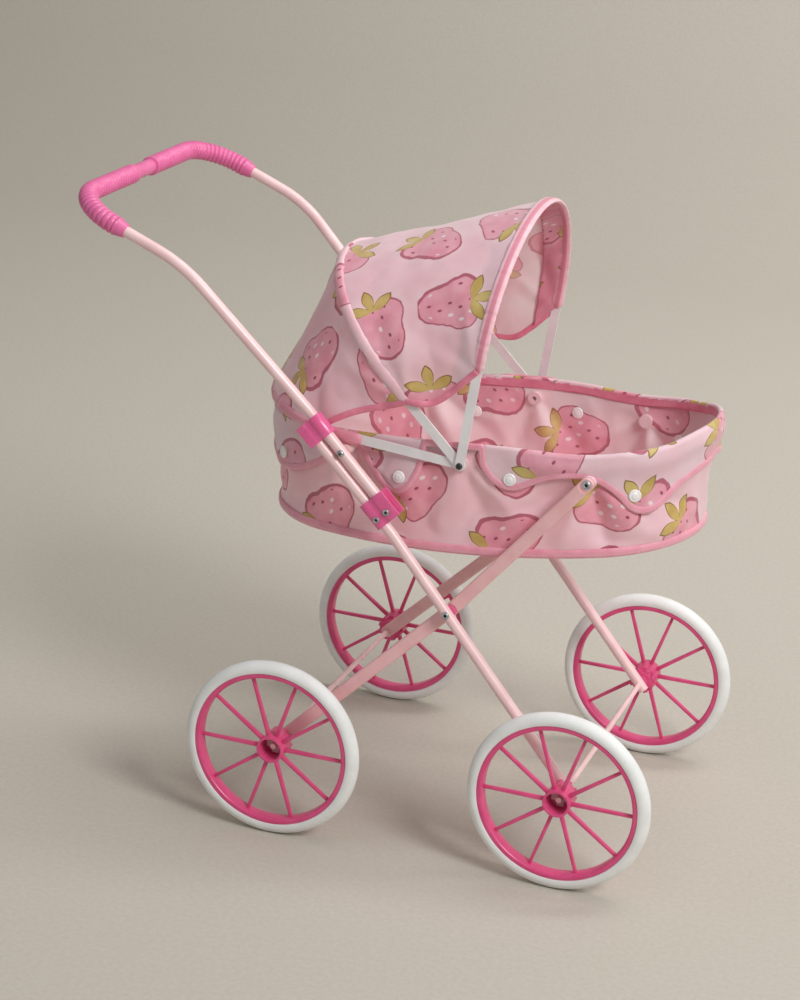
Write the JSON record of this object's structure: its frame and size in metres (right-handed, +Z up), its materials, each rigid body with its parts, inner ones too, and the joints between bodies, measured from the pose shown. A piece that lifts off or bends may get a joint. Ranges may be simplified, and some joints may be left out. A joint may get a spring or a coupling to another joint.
{
  "type": "doll pram",
  "caption": "Folding doll pram with a soft oval basket, a three-bow folding hood, a U-shaped push handle and spoked wheels on a crossed-leg chassis.",
  "frame": {"origin": "centre of the pram's footprint, on the floor under the middle of its overall length and width", "axes": "+X forward, from the push handle to the front wheels; +Y to the pram's left; +Z up"},
  "size_m": [0.552, 0.3284, 0.5542],
  "materials": {
    "tube_paint": "satin",
    "pink_plastic": "satin",
    "rim_plastic": "satin",
    "tyre_white": "matt",
    "axle_paint": "satin",
    "zinc": "satin",
    "print_fabric": "woven, printed",
    "binding_fabric": "woven",
    "stiffener": "matt",
    "bow_plastic": "satin",
    "snap_plastic": "gloss"
  },
  "bodies": {
    "chassis": {"front_leg_right": "tube_paint", "front_leg_left": "tube_paint", "leg_tube_plugs": "pink_plastic", "lower_clamp_right": "pink_plastic", "lower_clamp_left": "pink_plastic", "clamp_rivets": "zinc", "handle_pivot_rivets": "zinc", "cross_pivot_rivets": "zinc", "cross_pivot_washers": "pink_plastic", "front_axle": "axle_paint", "front_axle_retainers": "zinc", "front_axle_washers": "pink_plastic"},
    "handle": {"push_handle": "tube_paint", "handle_grip": "pink_plastic", "upper_clip_right": "pink_plastic", "upper_clip_left": "pink_plastic", "basket_screws": "zinc", "basket_screw_spacers": "pink_plastic", "basket_screw_nuts": "zinc"},
    "rear_frame": {"rear_leg_right": "tube_paint", "rear_leg_left": "tube_paint", "rear_axle": "axle_paint", "rear_axle_retainers": "zinc", "rear_axle_spacers": "pink_plastic", "leg_top_rivets": "zinc"},
    "basket": {"basket_fabric": "print_fabric", "basket_rim_band": "stiffener", "basket_base_board": "stiffener", "basket_collar": "print_fabric", "basket_binding": "binding_fabric", "basket_pivot_bosses": "bow_plastic", "collar_snaps": "snap_plastic", "hood_base_bow": "bow_plastic", "hood_pivot_rivets": "zinc"},
    "hood_mid": {"hood_mid_bow": "bow_plastic", "hood_rear_panel": "print_fabric"},
    "hood_front": {"hood_front_bow": "bow_plastic", "hood_front_panel": "print_fabric"},
    "front_right_wheel": {"front_right_rim": "rim_plastic", "front_right_tyre": "tyre_white"},
    "front_left_wheel": {"front_left_rim": "rim_plastic", "front_left_tyre": "tyre_white"},
    "rear_right_wheel": {"rear_right_rim": "rim_plastic", "rear_right_tyre": "tyre_white"},
    "rear_left_wheel": {"rear_left_rim": "rim_plastic", "rear_left_tyre": "tyre_white"}
  },
  "joints": [
    {"name": "handle_fold", "type": "hinge", "parent": "chassis", "child": "handle", "pos_m": [0.0231, 0, 0.30093], "axis": [0, 1, 0], "range_deg": [0, 120]},
    {"name": "rear_leg_fold", "type": "hinge", "parent": "chassis", "child": "rear_frame", "pos_m": [0.08009, 0, 0.21769], "axis": [0, 1, 0], "range_deg": [0, 62]},
    {"name": "basket_tilt", "type": "hinge", "parent": "handle", "child": "basket", "pos_m": [-0.02059, 0, 0.34492], "axis": [0, 1, 0], "range_deg": [-81, 0]},
    {"name": "hood_fold", "type": "hinge", "parent": "basket", "child": "hood_mid", "pos_m": [0.08006, 0, 0.34702], "axis": [0, -1, 0], "range_deg": [0, 30.5], "deforming": ["hood_rear_panel"]},
    {"name": "hood_front_fold", "type": "hinge", "parent": "hood_mid", "child": "hood_front", "pos_m": [0.08006, 0, 0.34702], "axis": [0, -1, 0], "range_deg": [0, 43.5], "deforming": ["hood_front_panel"]},
    {"name": "front_right_spin", "type": "hinge", "parent": "chassis", "child": "front_right_wheel", "pos_m": [0.19603, 0, 0.08], "axis": [0, 1, 0], "continuous": true},
    {"name": "front_left_spin", "type": "hinge", "parent": "chassis", "child": "front_left_wheel", "pos_m": [0.19603, 0, 0.08], "axis": [0, 1, 0], "continuous": true},
    {"name": "rear_right_spin", "type": "hinge", "parent": "rear_frame", "child": "rear_right_wheel", "pos_m": [-0.05897, 0, 0.08], "axis": [0, 1, 0], "continuous": true},
    {"name": "rear_left_spin", "type": "hinge", "parent": "rear_frame", "child": "rear_left_wheel", "pos_m": [-0.05897, 0, 0.08], "axis": [0, 1, 0], "continuous": true}
  ],
  "couplings": [
    {"joint": "rear_leg_fold", "follows": "handle_fold", "ratio": 0.51106},
    {"joint": "basket_tilt", "follows": "handle_fold", "ratio": -0.67068},
    {"joint": "hood_front_fold", "follows": "hood_fold", "ratio": 1.4262}
  ]
}
